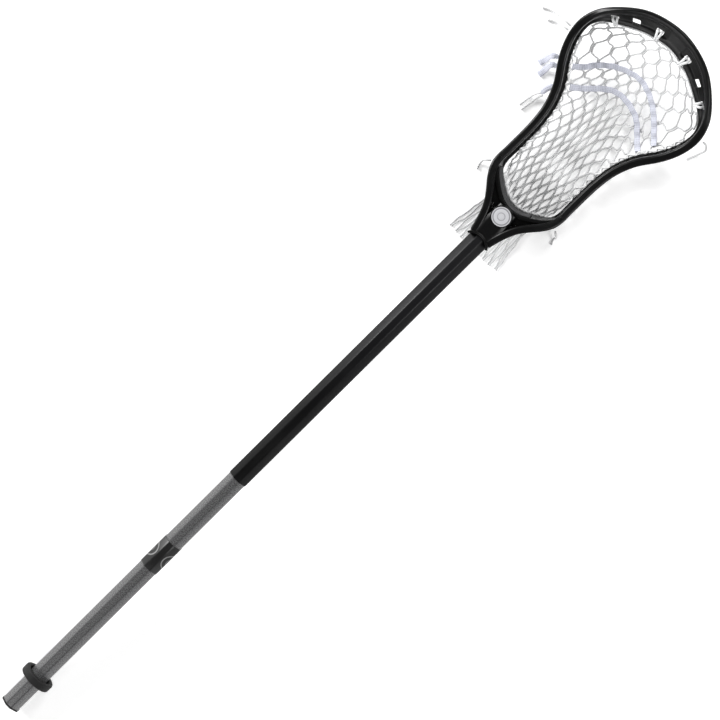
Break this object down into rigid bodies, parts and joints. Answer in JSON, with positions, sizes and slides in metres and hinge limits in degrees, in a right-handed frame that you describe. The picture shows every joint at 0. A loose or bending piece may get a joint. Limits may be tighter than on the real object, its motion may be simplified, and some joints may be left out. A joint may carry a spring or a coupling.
{
  "type": "lacrosse stick",
  "caption": "Lacrosse stick lying on its back: octagonal shaft with grip, butt cap and ring, and a one-piece head strung with a white mesh pocket, laces and loose ends.",
  "frame": {"origin": "middle of the bottom of the box round the stick without its loose string ends, on the ground it lies on", "axes": "+X from the butt end towards the scoop, +Z out of the open face, +Y to the left of the stick"},
  "size_m": [1.0215, 0.2264, 0.0855],
  "materials": {
    "shaft_alloy": "satin grey, anodised",
    "grip": "satin charcoal skin",
    "band_film": "satin black film with thin grey rings",
    "cap_rubber": "matt black",
    "ring_rubber": "matt black",
    "head_plastic": "moulded black nylon, satin to gloss",
    "stop_foam": "dark grey closed-cell foam",
    "badge": "silver-white disc with a grey ring",
    "screw_steel": "zinc plated",
    "mesh": "white knitted polyester mesh",
    "string": "white braided nylon string",
    "lace": "flat woven lace, pale lavender white"
  },
  "bodies": {
    "stick": {"shaft": "shaft_alloy", "grip_sleeve": "grip", "decal_band": "band_film", "head_frame": "head_plastic", "ball_stop_pad": "stop_foam", "throat_badge": "badge", "head_screw": "screw_steel", "mesh_pocket": "mesh", "mesh_tail": "mesh", "top_string": "string", "sidewall_string_left": "string", "sidewall_string_right": "string", "bottom_string": "string", "shooting_lace_upper": "lace", "shooting_lace_lower": "lace", "top_string_tail_long": "string", "top_string_tail_short": "string", "top_string_tail_right": "string", "upper_lace_tail_front": "lace", "upper_lace_tail_back": "lace", "lower_lace_knot": "string", "lower_lace_tail_left": "string", "lower_lace_tail_right": "string", "sidewall_string_tail_left": "string", "sidewall_string_tail_right": "string"},
    "butt_ring": {"butt_ring": "ring_rubber"},
    "butt_cap": {"butt_cap": "cap_rubber"}
  },
  "joints": [
    {"name": "butt_ring_slide", "type": "slide", "parent": "stick", "child": "butt_ring", "axis": [0.9994, 0, 0.0348], "range_m": [-0.035, 0.15]},
    {"name": "butt_cap_pull", "type": "slide", "parent": "stick", "child": "butt_cap", "axis": [-0.9994, 0, -0.0348], "range_m": [0, 0.03]}
  ]
}
